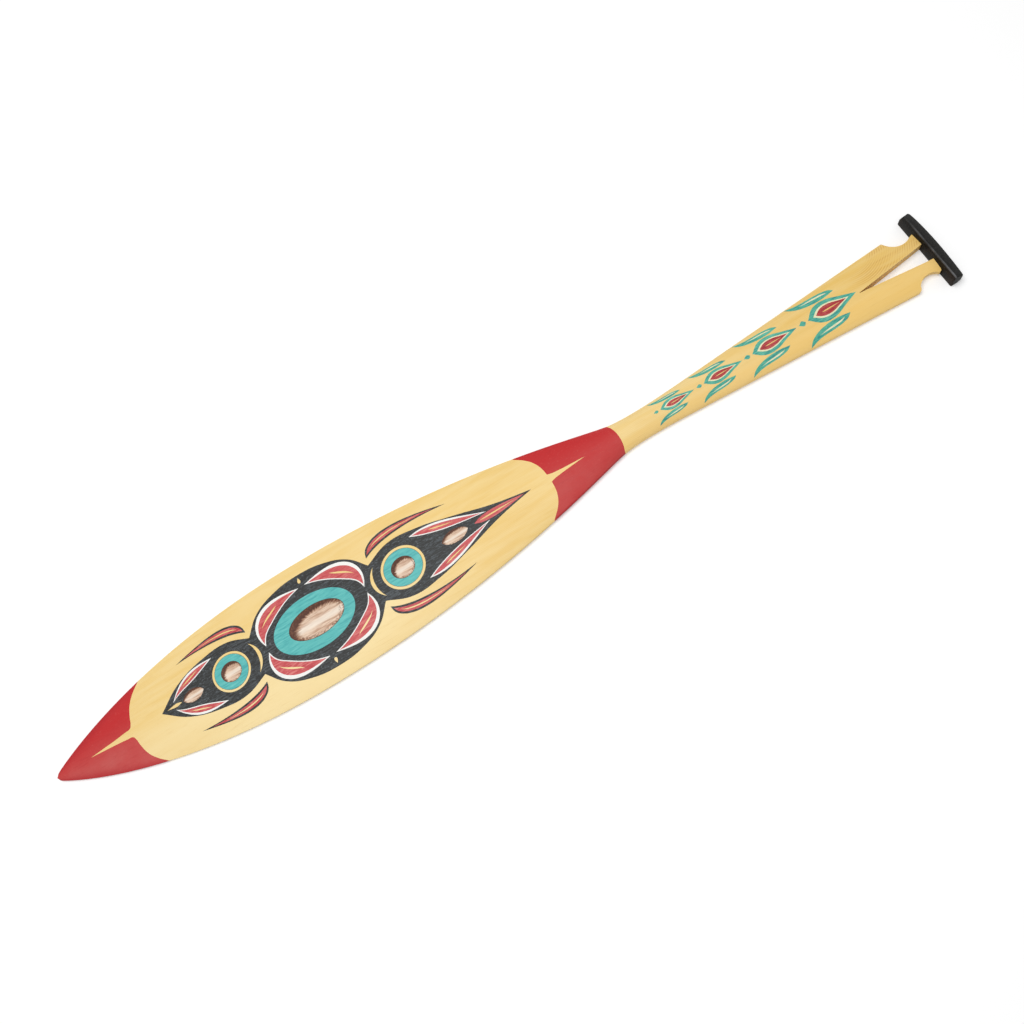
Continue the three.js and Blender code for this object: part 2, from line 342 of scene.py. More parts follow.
def height(x, key):
    """A height of the section at x, on a smooth curve that never overshoots the named sections."""
    def rise(i):
        here, ahead = SECTIONS[i], SECTIONS[i + 1]
        return (ahead[key] - here[key]) / (ahead[AT] - here[AT])

    def slope(i):
        if i in (0, len(SECTIONS) - 1) or rise(i - 1) * rise(i) <= 0:
            return 0
        return min(rise(i - 1), rise(i), key=abs)

    i = 0
    while i < len(SECTIONS) - 2 and x > SECTIONS[i + 1][AT]:
        i += 1
    span = SECTIONS[i + 1][AT] - SECTIONS[i][AT]
    t = (x - SECTIONS[i][AT]) / span
    start, end = SECTIONS[i][key], SECTIONS[i + 1][key]
    return (start * (1 + 2 * t) * (1 - t) ** 2 + slope(i) * span * t * (1 - t) ** 2
            + end * t * t * (3 - 2 * t) - slope(i + 1) * span * t * t * (1 - t))


def face(x, y):
    """The height of the crowned face at a place on it."""
    upper = height(x, UPPER)
    across = min(abs(y) / half_width(x), 1)
    return upper + (height(x, CROWN) - upper) * (1 - across ** 2) ** CROWN_ROUNDNESS


def body_ring(x):
    """The body's section at x: flat back, eased lower arris, upright band and crowned face."""
    half = half_width(x)
    ease = min(BACK_EASE, half * BACK_EASE_SHARE)
    lower = height(x, LOWER)
    side = []
    for i in range(EDGE_STEPS + 1):
        angle = i / EDGE_STEPS * math.pi / 2
        side.append((half - ease + ease * math.sin(angle), lower * (1 - math.cos(angle))))
    for i in range(CROWN_STEPS):
        y = half * math.cos(i / CROWN_STEPS * math.pi / 2)
        side.append((y, face(x, y)))
    right = [spot(x, y, z) for y, z in side]
    left = [spot(x, -y, z) for y, z in reversed(side)]
    return [*right, spot(x, 0, face(x, 0)), *left]


def spread(a, b, count, power=1):
    """Places from a up to but not including b, closer near a when the power is over 1."""
    return [lerp(a, b, (i / count) ** power) for i in range(count)]


def body_stations():
    """Where the body's sections lie, closer together where its outline bends."""
    neck_end = BLADE_LENGTH - THROAT_EASE_BLADE
    shaft_start = BLADE_LENGTH + THROAT_EASE_SHAFT
    fork = BODY_LENGTH - SLOT_LENGTH
    return [
        *spread(0, TIP_ROUNDING, 6),
        *spread(TIP_ROUNDING, BELLY_AT, 60, 1.4),
        *spread(BELLY_AT, neck_end, 50),
        *spread(neck_end, shaft_start, 24),
        *spread(shaft_start, fork, 20),
        *spread(fork, BODY_LENGTH, 24),
        BODY_LENGTH,
    ]


# Outlines drawn in plan, and the prisms made from them

ROUND, CORNER = "AUTO", "VECTOR"


def mirror_x(outline, about):
    return [(2 * about - x, y, kind) for x, y, kind in reversed(outline)]


def mirror_y(outline):
    return [(x, -y, kind) for x, y, kind in reversed(outline)]


def pair(outline):
    return [outline, mirror_y(outline)]


def both_sides(half):
    """A closed outline from its left half: anchors from one point on the middle line to another."""
    return [*half, *mirror_y(half[1:-1])]


def oval(x, length, width):
    count = 24
    turn = math.tau / count
    return [(x + length / 2 * math.cos(i * turn), width / 2 * math.sin(i * turn), ROUND)
            for i in range(count)]


def stroke(path, width, fullest=0.5, start=0.0, end=1.0, aside=0.0):
    """A petal: a stretch of a Bezier centre line, swelling to its width and pointed at both ends.
    Fullest says how far along it is widest, and aside moves its middle off the line."""
    power = math.log(0.5) / math.log(fullest)
    steps = 8
    left, right = [], []
    for i in range(1, steps):
        t = i / steps
        place = lerp(start, end, t)
        along = on_curve(path, place + 0.01) - on_curve(path, place - 0.01)
        across = Vector((-along.y, along.x)).normalized()
        swell = math.sin(math.pi * t ** power)
        middle = on_curve(path, place) + across * aside * swell
        left.append((*(middle + across * width / 2 * swell), ROUND))
        right.append((*(middle - across * width / 2 * swell), ROUND))
    first, last = on_curve(path, start), on_curve(path, end)
    return [(*first, CORNER), *left, (*last, CORNER), *reversed(right)]


def prism(name, outlines, low, high):
    """Closed outlines, each inside another being a hole in it, filled between two heights."""
    curve = bpy.data.curves.new(name, "CURVE")
    curve.dimensions = "2D"
    curve.fill_mode = "BOTH"
    curve.resolution_u = 6
    curve.extrude = (high - low) / 2 * MM
    for outline in outlines:
        spline = curve.splines.new("BEZIER")
        spline.bezier_points.add(len(outline) - 1)
        spline.use_cyclic_u = True
        for point, (x, y, kind) in zip(spline.bezier_points, outline):
            point.co = spot(x, y)
            point.handle_left_type = kind
            point.handle_right_type = kind
    piece = linked(name, curve)
    piece.location.z = (high + low) / 2 * MM
    choose(piece)
    bpy.ops.object.convert(target="MESH")
    piece = bpy.context.object
    bpy.ops.object.transform_apply(location=True, rotation=False, scale=False)
    return tidy_mesh(piece, PRISM_MERGE)


def face_shell(name, start, end, raised, depth):
    """A thin slab that follows the crowned face, from raised above it to depth below it."""
    stations = spread(start, end, max(2, round((end - start) / SKIN_STATION)))
    rings = []
    for x in [*stations, end]:
        reach = half_width(x) * SKIN_REACH
        turns = [math.pi / 2 * (i / SKIN_STEPS - 1) for i in range(2 * SKIN_STEPS + 1)]
        line = [reach * math.sin(turn) for turn in turns]
        top = [spot(x, y, face(x, y) + raised) for y in line]
        under = [spot(x, y, face(x, y) - depth) for y in reversed(line)]
        rings.append([*top, *under])
    return lofted(name, rings)


# Fork, and the hollows

def slot_outline():
    root = BODY_LENGTH - SLOT_LENGTH
    walls = {}
    for side in (1, -1):
        start = SLOT_ROOT_OFFSET + side * SLOT_KERF / 2
        end = SLOT_MOUTH_OFFSET + side * SLOT_MOUTH / 2
        walls[side] = (start, lerp(start, end, 1 + CUT_OVERRUN / SLOT_LENGTH))
    return [
        (root, walls[-1][0], CORNER),
        (BODY_LENGTH + CUT_OVERRUN, walls[-1][1], CORNER),
        (BODY_LENGTH + CUT_OVERRUN, walls[1][1], CORNER),
        (root, walls[1][0], CORNER),
    ]


def scallop_outline(side):
    """What is cut from one prong's outside: the head's rounded corner, the scallop, the prong's end."""
    centre_x = BODY_LENGTH - SCALLOP_BEFORE_END
    centre_y = NECK_HALF_WIDTH + SCALLOP_RADIUS
    corner_rounding = HEAD_CORNER_ROUNDING[side]
    end_rounding = PRONG_END_ROUNDING[side]

    def edge(x):
        return half_width(x) - side * SLOT_MOUTH_OFFSET

    arc_start = math.asin((centre_y - (edge(centre_x) - corner_rounding)) / SCALLOP_RADIUS)
    arc_end = math.acos((PRONG_STRAIGHT - SCALLOP_BEFORE_END) / SCALLOP_RADIUS)
    start_x = centre_x - SCALLOP_RADIUS * math.cos(arc_start)
    corner_x = start_x - corner_rounding
    corner = [(corner_x, edge(corner_x) + CUT_CLEARANCE), (start_x, edge(start_x)),
              (start_x, centre_y - SCALLOP_RADIUS * math.sin(arc_start))]
    end_corner = [
        (BODY_LENGTH - end_rounding, PRONG_END_HALF_WIDTH),
        (BODY_LENGTH, PRONG_END_HALF_WIDTH),
        (BODY_LENGTH, PRONG_END_HALF_WIDTH - end_rounding),
    ]
    arc = []
    for i in range(ARC_STEPS + 1):
        angle = lerp(math.pi + arc_start, math.pi + arc_end, i / ARC_STEPS)
        x, y = SCALLOP_RADIUS * math.cos(angle), SCALLOP_RADIUS * math.sin(angle)
        arc.append((centre_x + x, centre_y + y))
    outward = edge(BODY_LENGTH) + CUT_OVERRUN
    past_end = BODY_LENGTH + CUT_OVERRUN
    points = [
        (corner_x, outward), *bezier(corner, CORNER_STEPS), *arc, *bezier(end_corner, CORNER_STEPS),
        end_corner[-1], (past_end, end_corner[-1][1]), (past_end, outward),
    ]
    return [(x, SLOT_MOUTH_OFFSET + side * y, CORNER) for x, y in points]


def under_cone(side):
    """The cone that eases the lower arris of a scallop: it widens downwards."""
    overrun = 1 + CUT_OVERRUN / SCALLOP_UNDER_EASE_HEIGHT
    low_radius = (SCALLOP_RADIUS + SCALLOP_UNDER_EASE * overrun) * MM
    high_radius = SCALLOP_RADIUS * MM
    depth = SCALLOP_UNDER_EASE_HEIGHT * overrun * MM
    cone = bpy.ops.mesh.primitive_cone_add
    tool = added(cone, vertices=96, radius1=low_radius, radius2=high_radius, depth=depth)
    centre_y = SLOT_MOUTH_OFFSET + side * (NECK_HALF_WIDTH + SCALLOP_RADIUS)
    middle_height = SCALLOP_UNDER_EASE_HEIGHT * (1 - overrun / 2)
    middle = spot(BODY_LENGTH - SCALLOP_BEFORE_END, centre_y, middle_height)
    for vertex in tool.data.vertices:
        vertex.co += middle
    return tool


def bowl(hollow, width, aside, lift_more, gouged):
    """The ball-shaped tool that leaves a shallow bowl, its surface rippled by the gouge if asked."""
    lift = GOUGE_RADIUS - hollow["depth"]
    spread_out = 1 / math.sqrt(1 - (lift / GOUGE_RADIUS) ** 2)
    tool = added(bpy.ops.mesh.primitive_uv_sphere_add, segments=96, ring_count=64, radius=1)
    centre = spot(hollow["at"], aside, face(hollow["at"], 0) + lift + lift_more)
    size = Vector((hollow["length"] / 2 * spread_out, width / 2 * spread_out, GOUGE_RADIUS)) * MM
    for vertex in tool.data.vertices:
        place = centre + vertex.co * size
        if gouged and vertex.co.z < 0:
            ripple = noise.noise(Vector((place.x * RIPPLE_ALONG, place.y * RIPPLE_ACROSS, RIPPLE_SEED)))
            place.z += RIPPLE_HEIGHT * (ripple + RIPPLE_BIAS)
        vertex.co = place
    return tool


def hollow_tool(hollow, lift_more=0, gouged=False):
    """What gouges a hollow: one bowl, or for a pointed hollow what two bowls side by side share."""
    width = hollow["width"]
    if not hollow["pointed"]:
        return bowl(hollow, width, 0, lift_more, gouged)
    left = bowl(hollow, width * 2, width / 2, lift_more, gouged)
    right = bowl(hollow, width * 2, -width / 2, lift_more, gouged)
    return cut(left, right, "INTERSECT")


def rim(hollow, margin):
    """The hollow's edge in plan, let out by a margin."""
    length, width = hollow["length"] / 2 + margin, hollow["width"] / 2 + margin
    if not hollow["pointed"]:
        return oval(hollow["at"], 2 * length, 2 * width)
    # Two ovals, each through the other's middle, cross this share of the way along
    crossing = math.sqrt(0.75)
    steps = 8
    half = []
    for i in range(steps + 1):
        angle = lerp(math.acos(-crossing), math.acos(crossing), i / steps)
        y = 2 * width * math.sin(angle) - width
        half.append((hollow["at"] + length * math.cos(angle), y, ROUND if 0 < i < steps else CORNER))
    return both_sides(half)


def carve_body():
    body = lofted("cedar_body", [body_ring(x) for x in body_stations()])
    cut(body, prism("slot_tool", [slot_outline()], CUT_LOW, CUT_HIGH))
    for side in (1, -1):
        cut(body, prism("scallop_tool", [scallop_outline(side)], CUT_LOW, CUT_HIGH))
        cut(body, under_cone(side))
    for hollow in HOLLOWS.values():
        cut(body, hollow_tool(hollow))
    return body


# Red ends: the tip, and the shoulder up to the throat. Their outlines run outside the body, which
# sets their sides.

# The shoulder's block leans this far along the paddle for each millimetre across it
SHOULDER_SKEW = 0.06


RED_TIP = both_sides([
    (-10, 0, CORNER), (-10, 90, CORNER), (174, 90, CORNER), (173, 66.3, CORNER), (159.5, 54.5, ROUND),
    (149, 41, ROUND), (142.6, 25, ROUND), (138.8, 11, ROUND), (136.2, 7.2, ROUND), (126, 5.6, ROUND),
    (112.7, 4.1, ROUND), (88, 2, ROUND), (61.5, 0, CORNER),
])
SQUARE_SHOULDER = both_sides([
    (936, 0, CORNER), (910, 1.9, ROUND), (893, 3.3, ROUND), (881, 4.9, ROUND), (875.2, 6.6, CORNER),
    (874.2, 17, ROUND), (870.8, 29, ROUND), (863.6, 41, ROUND), (846.5, 57, CORNER), (844.5, 80, CORNER),
    (986.6, 80, CORNER), (987.6, 25, CORNER), (991.4, 15, ROUND), (993.2, 0, ROUND),
])
RED_SHOULDER = [(x - SHOULDER_SKEW * y, y, kind) for x, y, kind in SQUARE_SHOULDER]


def red_ends(body):
    """Cuts the painted ends out of the body, so that paint and wood meet in a clean line."""
    made = []
    for name, outline in (("red_tip", RED_TIP), ("red_shoulder", RED_SHOULDER)):
        tool = prism("paint_tool", [outline], CUT_LOW, CUT_HIGH)
        made.append(cut(copy_of(body, name), tool, "INTERSECT", keep_tool=True))
        cut(body, tool)
    return made


# Blade ornament: three roundels on a lobed black field that runs out into a leaf at each end.
# A petal is a centre line, its width, and how far along it is fullest. A roundel is a teal ring
# round a hollow, and the two small ones have a ring of bare wood round that.

MIDDLE = HOLLOWS["main_hollow"]["at"]
ROUNDELS = {
    "small_hollow": {"at": 318, "teal": (56, 52), "wood": [(64, 60), (57, 53)]},
    "main_hollow": {"at": 466, "teal": (138, 84), "wood": []},
    "second_hollow": {"at": 622, "teal": (62, 56), "wood": [(71, 65), (63, 57)]},
}
WREATH = [(475, 58.5), (528, 58.5), (562, 42.5), (557, 5)]
TIP_PETAL = [(215, 6), (236, 24), (262, 31), (297, 36)]
SHOULDER_PETAL = [(650, 36), (690, 31), (722, 19), (770, 7)]
SIDE_LEAVES = [
    [(362, 42), (350, 64), (310, 66), (240, 56)],
    [(578, 42), (590, 65), (640, 69), (722, 52)],
]
TIP_SLIT = [(201, 0), (212, 0), (220, 0), (228, 0)]
TAIL = [(746, 0), (770, 0), (800, 0), (832, 0)]
NECKS = [
    [(358, -25), (372, -10), (372, 10), (358, 25)],
    [(581, -25), (567, -10), (567, 10), (581, 25)],
]
CROWN_DROP = [(470, 64), (470, 67), (470, 70), (470, 73.5)]
BLACK_FIELD = both_sides([
    (192, 0, CORNER), (232, 27, ROUND), (284, 42, ROUND), (328, 44, ROUND), (364, 31, CORNER),
    (388, 57, ROUND), (426, 73, ROUND), (470, 78, ROUND), (514, 73, ROUND), (552, 57, ROUND),
    (576, 31, CORNER), (616, 46, ROUND), (664, 43, ROUND), (722, 29, ROUND), (784, 11.5, ROUND),
    (844, 0, CORNER),
])


def quarters(outline):
    """An outline and its copies in the other three quarters round the main hollow."""
    far = mirror_x(outline, MIDDLE)
    return [*pair(outline), *pair(far)]


def wood_rings():
    """Bare wood left round the two small roundels, as an outer and an inner edge each."""
    return [oval(ring["at"], *size) for ring in ROUNDELS.values() for size in ring["wood"]]


def petal_slits():
    """Bare wood that splits each petal, so it is left out of every coat there."""
    slits = quarters(stroke(WREATH, 3, 0.4, 0.3, 0.72, -2.5))
    slits += pair(stroke(SHOULDER_PETAL, 2, 0.4, 0.26, 0.62, -0.8))
    return [*slits, *pair(stroke(TIP_PETAL, 2, 0.5, 0.3, 0.72, -0.8)), stroke(TAIL, 2.2, 0.4, 0.1, 0.85)]


def leaf_slits():
    return [slit for leaf in SIDE_LEAVES for slit in pair(stroke(leaf, 2, 0.4, 0.2, 0.8))]


def black_paint_outlines():
    outlines = [BLACK_FIELD, *wood_rings(), *petal_slits(), *leaf_slits(), stroke(TIP_SLIT, 5, 0.6)]
    outlines += [rim(hollow, PAINT_GAP) for hollow in HOLLOWS.values()]
    outlines += [stroke(neck, 5.5) for neck in NECKS]
    outlines += pair(stroke(CROWN_DROP, 5, 0.35))
    return outlines + [side for leaf in SIDE_LEAVES for side in pair(stroke(leaf, 15, 0.4))]


def white_paint_outlines():
    outlines = quarters(stroke(WREATH, 27, 0.52))
    outlines += pair(stroke(TIP_PETAL, 14, 0.55))
    outlines += pair(stroke(SHOULDER_PETAL, 14.5, 0.42))
    return outlines + petal_slits()[:-1]


def red_paint_outlines():
    outlines = quarters(stroke(WREATH, 20, 0.52, 0.04, 0.96, -2))
    outlines += pair(stroke(TIP_PETAL, 9.2, 0.55, 0.06, 0.94, -0.9))
    outlines += pair(stroke(SHOULDER_PETAL, 9.8, 0.42, 0.04, 0.95, -0.9))
    outlines += [side for leaf in SIDE_LEAVES for side in pair(stroke(leaf, 8.6, 0.4, 0.07, 0.92))]
    return outlines + [stroke(TAIL, 12, 0.4), *petal_slits(), *leaf_slits()]


def teal_paint_outlines():
    outlines = []
    for name, ring in ROUNDELS.items():
        outlines += [oval(ring["at"], *ring["teal"]), rim(HOLLOWS[name], PAINT_GAP)]
    return outlines


def paint(name, outlines, coat, start, end):
    """A coat of paint: its outlines cut from a skin that follows the face."""
    skin = face_shell("skin", start, end, coat, PAINT_DEPTH)
    piece = prism(name, outlines, PAINT_LOW, CUT_HIGH)
    cut(piece, skin, "INTERSECT")
    return smooth(piece, COAT_ANGLE)


def paint_blade():
    coats = {
        "blade_black": (black_paint_outlines(), BLACK_COAT),
        "blade_white": (white_paint_outlines(), WHITE_COAT),
        "blade_red": (red_paint_outlines(), COLOUR_COAT),
        "blade_teal": (teal_paint_outlines(), COLOUR_COAT),
    }
    return {name: paint(name, outlines, coat, *BLADE_PAINT) for name, (outlines, coat) in coats.items()}


# Shaft ornament: a row of buds, each between two bent leaves, larger towards the fork. A bud has
# its start, its length and its width, and its outlines are in shares of the length and half the width.

BUDS = [(1056, 62, 34), (1128, 70, 42), (1208, 80, 52), (1300, 86, 64)]
BENT_LEAF = [(0.78, 0.66), (0.52, 0.8), (0.18, 0.66), (-0.06, 1.12)]
BUD_SEED = [(-0.05, 0), (0, 0), (0.04, 0), (0.085, 0)]
BUD_SLIT = [(0.4, 0), (0.5, 0), (0.6, 0), (0.74, 0)]
BUD_OUTER, BUD_INNER, BUD_CORE = [
    both_sides([(start, 0, CORNER), *[(x, y, ROUND) for x, y in side], (end, 0, CORNER)])
    for start, side, end in (
        (0.13, [(0.32, 0.43), (0.54, 0.49), (0.8, 0.25)], 1.05),
        (0.23, [(0.37, 0.26), (0.55, 0.3), (0.76, 0.13)], 0.91),
        (0.28, [(0.4, 0.2), (0.55, 0.23), (0.73, 0.1)], 0.86),
    )
]


def placed(outline, start, length, width):
    return [(start + x * length, y * width / 2, kind) for x, y, kind in outline]


def paint_shaft():
    leaves = pair(stroke(BENT_LEAF, 0.37, 0.4))
    veins = pair(stroke(BENT_LEAF, 0.08, 0.4, 0.14, 0.72, -0.05))
    parts = {
        "shaft_teal": [BUD_OUTER, BUD_INNER, *leaves, *veins, stroke(BUD_SEED, 0.26, 0.6)],
        "shaft_cream": [BUD_INNER, BUD_CORE, *veins],
        "shaft_red": [BUD_CORE, stroke(BUD_SLIT, 0.06, 0.4)],
    }
    coats = {}
    for name, outlines in parts.items():
        row = [placed(outline, *bud) for bud in BUDS for outline in outlines]
        coats[name] = paint(name, row, SHAFT_COAT, *SHAFT_PAINT)
    return coats


def hollow_lining(name, hollow):
    """The scorched surface of a hollow: a block let into the body and cut by the rippling gouge."""
    reach = hollow["length"] / 2 + LINING_OVERLAP
    depth = hollow["depth"] + LINING_THICKNESS
    block = face_shell("block", hollow["at"] - reach, hollow["at"] + reach, LINING_COAT, depth)
    lining = prism(name, [rim(hollow, LINING_MARGIN)], LINING_LOW, CUT_HIGH)
    cut(lining, block, "INTERSECT")
    cut(lining, hollow_tool(hollow, LINING_LIFT, gouged=True))
    return smooth(lining, LINING_ANGLE)


# Cross grip

def grip_ring(y, inset):
    """The grip's section at y: upright near face, ridge along the top, bowed far face."""
    near = (grip_low.x - TIP_X) / MM
    side = 1 if y > 0 else -1
    depth = GRIP_DEPTH - GRIP_BOW[side] * (2 * y / GRIP_LENGTH) ** 2
    from_end = GRIP_LENGTH / 2 - abs(y)
    rounding = min(1, max(0, 1 - from_end / GRIP_END_FALL_LENGTH[side]))
    fall = GRIP_END_FALL[side] * (1 - math.sqrt(1 - rounding ** 2))
    ridge_y = y - side * fall * GRIP_RIDGE_DRAW
    outline = [
        (GRIP_LOW_EASE, y, inset),
        (inset, y, GRIP_LOW_EASE + inset),
        (inset, y, GRIP_NEAR_HEIGHT - inset - fall * GRIP_NEAR_FALL),
        (GRIP_RIDGE_SETBACK, ridge_y, GRIP_HEIGHT - inset - fall),
        (GRIP_RIDGE_SETBACK + GRIP_RIDGE_FLAT, ridge_y, GRIP_HEIGHT - inset - fall),
        (depth - inset, y, GRIP_FAR_HEIGHT - inset - fall * GRIP_FAR_FALL),
        (depth - inset, y, GRIP_FAR_LOW_EASE + inset),
        (depth - GRIP_FAR_LOW_EASE, y, inset),
    ]
    return [spot(near + x, GRIP_MIDDLE + across, z) for x, across, z in outline]


def shape_grip():
    ends = [(share * GRIP_END_EASE, inset) for share, inset in GRIP_END_INSETS]
    right_end = -GRIP_LENGTH / 2
    left_end = GRIP_LENGTH / 2 + GRIP_LEFT_REACH
    middle = spread(right_end + GRIP_END_EASE, left_end - GRIP_END_EASE, GRIP_STATIONS)[1:]
    rings = [
        *[grip_ring(right_end + along, inset) for along, inset in ends],
        *[grip_ring(y, 0) for y in middle],
        *[grip_ring(left_end - along, inset) for along, inset in reversed(ends)],
    ]
    grip = lofted("black_grip", rings)
    apply_modifier(grip, "BEVEL", width=GRIP_BEVEL * MM, segments=3, limit_method="ANGLE",
                   angle_limit=math.radians(GRIP_BEVEL_ANGLE), harden_normals=False)
    return smooth(grip, WOOD_ANGLE)


# Materials

def srgb(red, green, blue):
    """A colour read off a screen, 0 to 255, as the linear colour that a shader takes."""
    def linear(value):
        value /= 255
        return value / 12.92 if value <= 0.04045 else ((value + 0.055) / 1.055) ** 2.4
    return (linear(red), linear(green), linear(blue), 1)


def feed(tree, node, inputs):
    """Sets a node's inputs: each socket's name or number has a value, or another node's output."""
    for socket, value in inputs.items():
        if isinstance(value, bpy.types.NodeSocket):
            tree.links.new(value, node.inputs[socket])
        else:
            node.inputs[socket].default_value = value
    return node


def put(tree, kind, inputs, **settings):
    """Adds a node with its settings and its inputs."""
    made = tree.nodes.new("ShaderNode" + kind)
    set_all(made, settings)
    return feed(tree, made, inputs)


def new_group(name, inputs, outputs):
    """A node group, with the sockets of its input and output nodes. Both lists hold labels and kinds."""
    tree = bpy.data.node_groups.new(name, "ShaderNodeTree")
    for label, kind in inputs:
        tree.interface.new_socket(label, in_out="INPUT", socket_type=kind)
    for label, kind in outputs:
        tree.interface.new_socket(label, in_out="OUTPUT", socket_type=kind)
    return tree, tree.nodes.new("NodeGroupInput").outputs, tree.nodes.new("NodeGroupOutput").inputs


FLOAT, VECTOR = "NodeSocketFloat", "NodeSocketVector"


def math_node(tree, operation, *values, clamp=False):
    inputs = dict(enumerate(values))
    return put(tree, "Math", inputs, operation=operation, use_clamp=clamp).outputs[0]


def times(tree, a, b):
    return math_node(tree, "MULTIPLY", a, b)


def plus(tree, a, b):
    return math_node(tree, "ADD", a, b)


def mapped(tree, value, from_min, from_max, to_min=0.0, to_max=1.0):
    """A value eased from one range into another, and held at its ends outside it."""
    ranges = {"From Min": from_min, "From Max": from_max, "To Min": to_min, "To Max": to_max}
    made = put(tree, "MapRange", {"Value": value, **ranges}, interpolation_type="SMOOTHSTEP")
    return made.outputs["Result"]


# A Mix node's sockets for colours have numbers only
MIX_FACTOR, MIX_A, MIX_B, MIX_RESULT = 0, 6, 7, 2


def layered(tree, colour, *layers):
    """A colour with others laid over it in turn, each as far as its factor says."""
    for factor, over in layers:
        inputs = {MIX_FACTOR: factor, MIX_A: colour, MIX_B: over}
        colour = put(tree, "Mix", inputs, data_type="RGBA").outputs[MIX_RESULT]
    return colour


def noise_node(tree, vector, scale, detail, roughness=0.5):
    inputs = {"Vector": vector, "Scale": scale, "Detail": detail, "Roughness": roughness}
    return put(tree, "TexNoise", inputs).outputs["Fac"]


def vector_node(tree, operation, *values):
    return put(tree, "VectorMath", dict(enumerate(values)), operation=operation).outputs[0]


def scaled(tree, vector, scale):
    return vector_node(tree, "MULTIPLY", vector, scale)


def length_of(tree, vector):
    return put(tree, "VectorMath", {0: vector}, operation="LENGTH").outputs["Value"]


def axes(tree, vector):
    return put(tree, "SeparateXYZ", {0: vector}).outputs


def joined(tree, x=0.0, y=0.0, z=0.0):
    return put(tree, "CombineXYZ", {0: x, 1: y, 2: z}).outputs[0]


def drawn_out(tree, place, along, across):
    """A place scaled by one measure along the paddle and another across it, both ways."""
    return scaled(tree, place, joined(tree, along, across, across))


def long_fibre_group():
    """Streaks drawn out along the paddle: Fine for pores, Broad for slow changes of tone."""
    tree, given, result = new_group(
        "long fibre",
        [("Place", VECTOR), ("Fibre Width", FLOAT), ("Fibre Length", FLOAT)],
        [("Fine", FLOAT), ("Broad", FLOAT)],
    )
    across = math_node(tree, "DIVIDE", 1.0, given["Fibre Width"])
    along = math_node(tree, "DIVIDE", 1.0, given["Fibre Length"])
    fine_place = drawn_out(tree, given["Place"], along, across)
    broad_place = scaled(tree, fine_place, (0.28, 0.09, 0.09))
    tree.links.new(noise_node(tree, fine_place, 1.0, 2.0), result["Fine"])
    tree.links.new(noise_node(tree, broad_place, 1.0, 3.0), result["Broad"])
    return tree


def growth_ring_group():
    """The tree's rings as thin late-wood lines, from how deep each place lies across them."""
    tree, given, result = new_group(
        "growth rings",
        [("Place", VECTOR), ("Depth", FLOAT), ("Ring Width", FLOAT), ("Wander", FLOAT)],
        [("Late Wood", FLOAT)],
    )
    drift = noise_node(tree, scaled(tree, given["Place"], (2.6, 14.0, 14.0)), 1.0, 2.0)
    drift = times(tree, drift, given["Wander"])
    depth = plus(tree, given["Depth"], drift)
    part = math_node(tree, "FRACT", math_node(tree, "DIVIDE", depth, given["Ring Width"]))
    late = math_node(tree, "POWER", part, 2.5)
    tree.links.new(times(tree, late, mapped(tree, part, 1.0, 0.86)), result["Late Wood"])
    return tree


def brush_group():
    """Marks in paint: Strokes along the paddle, Patches of thin coat, Specks of bare pores."""
    tree, given, result = new_group(
        "brush marks",
        [("Place", VECTOR), ("Stroke Width", FLOAT)],
        [("Strokes", FLOAT), ("Patches", FLOAT), ("Specks", FLOAT)],
    )
    across = math_node(tree, "DIVIDE", 1.0, given["Stroke Width"])
    along = times(tree, across, 0.13)
    strokes = noise_node(tree, drawn_out(tree, given["Place"], along, across), 1.0, 4.0, 0.62)
    tree.links.new(strokes, result["Strokes"])
    tree.links.new(noise_node(tree, given["Place"], 26.0, 4.0, 0.6), result["Patches"])
    speck_place = scaled(tree, given["Place"], (210.0, 430.0, 430.0))
    tree.links.new(noise_node(tree, speck_place, 1.0, 2.0, 0.7), result["Specks"])
    return tree


FIBRE = long_fibre_group()
RINGS = growth_ring_group()
BRUSH = brush_group()


def new_material(name, roughness, specular):
    """A material, with its tree, its shader and the place of each point in the paddle's frame."""
    material = bpy.data.materials.new(name)
    material.use_nodes = True
    tree = material.node_tree
    shader = tree.nodes["Principled BSDF"]
    feed(tree, shader, {"Roughness": roughness, "Specular IOR Level": specular})
    place = tree.nodes.new("ShaderNodeTexCoord").outputs["Object"]
    return material, tree, shader, place


def finish_surface(tree, shader, colour, relief, relief_depth, roughness=None):
    """Feeds a shader its colour, the bump of its relief and, where it varies, its roughness."""
    bump = put(tree, "Bump", {"Height": relief, "Distance": relief_depth, "Strength": 1.0})
    feed(tree, shader, {"Base Color": colour, "Normal": bump.outputs[0]})
    if roughness:
        feed(tree, shader, {"Roughness": roughness})


def use_group(tree, group, inputs):
    return put(tree, "Group", inputs, node_tree=group).outputs


# Colours of the wood, with a painted sheen on the blade's right-hand half and painted light on the
# shaft's right-hand flank, and where along and across the paddle its tone and these change, in metres

CEDAR_LIGHT, CEDAR_DEEP = srgb(246, 217, 150), srgb(237, 197, 108)
DOWEL_LIGHT, DOWEL_DEEP = srgb(222, 188, 136), srgb(196, 150, 92)
WOOD_SHEEN = srgb(251, 228, 172)
FLANK_PAINTED_LIGHT = srgb(255, 213, 128)
LATE_WOOD = srgb(204, 148, 70)
OPEN_PORES = srgb(214, 166, 90)
HAND_END_X = (0.2, 0.74)
WARM_FROM_X, WARM_TO_X = (-0.28, -0.02), (0.26, 0.1)
WOOD_SHEEN_X, WOOD_SHEEN_Y = (0.0, -0.2), (0.012, -0.04)
LIT_FLANK_X, LIT_FLANK_Y = (0.06, 0.24), (-0.002, -0.02)
CURL_CENTRE = spot(1411, 63)
CURL_X = (spot(1380, 0).x, spot(1425, 0).x)
CURL_Y = (0.001, 0.006)
CURL_REACH = (0.03, 0.042)


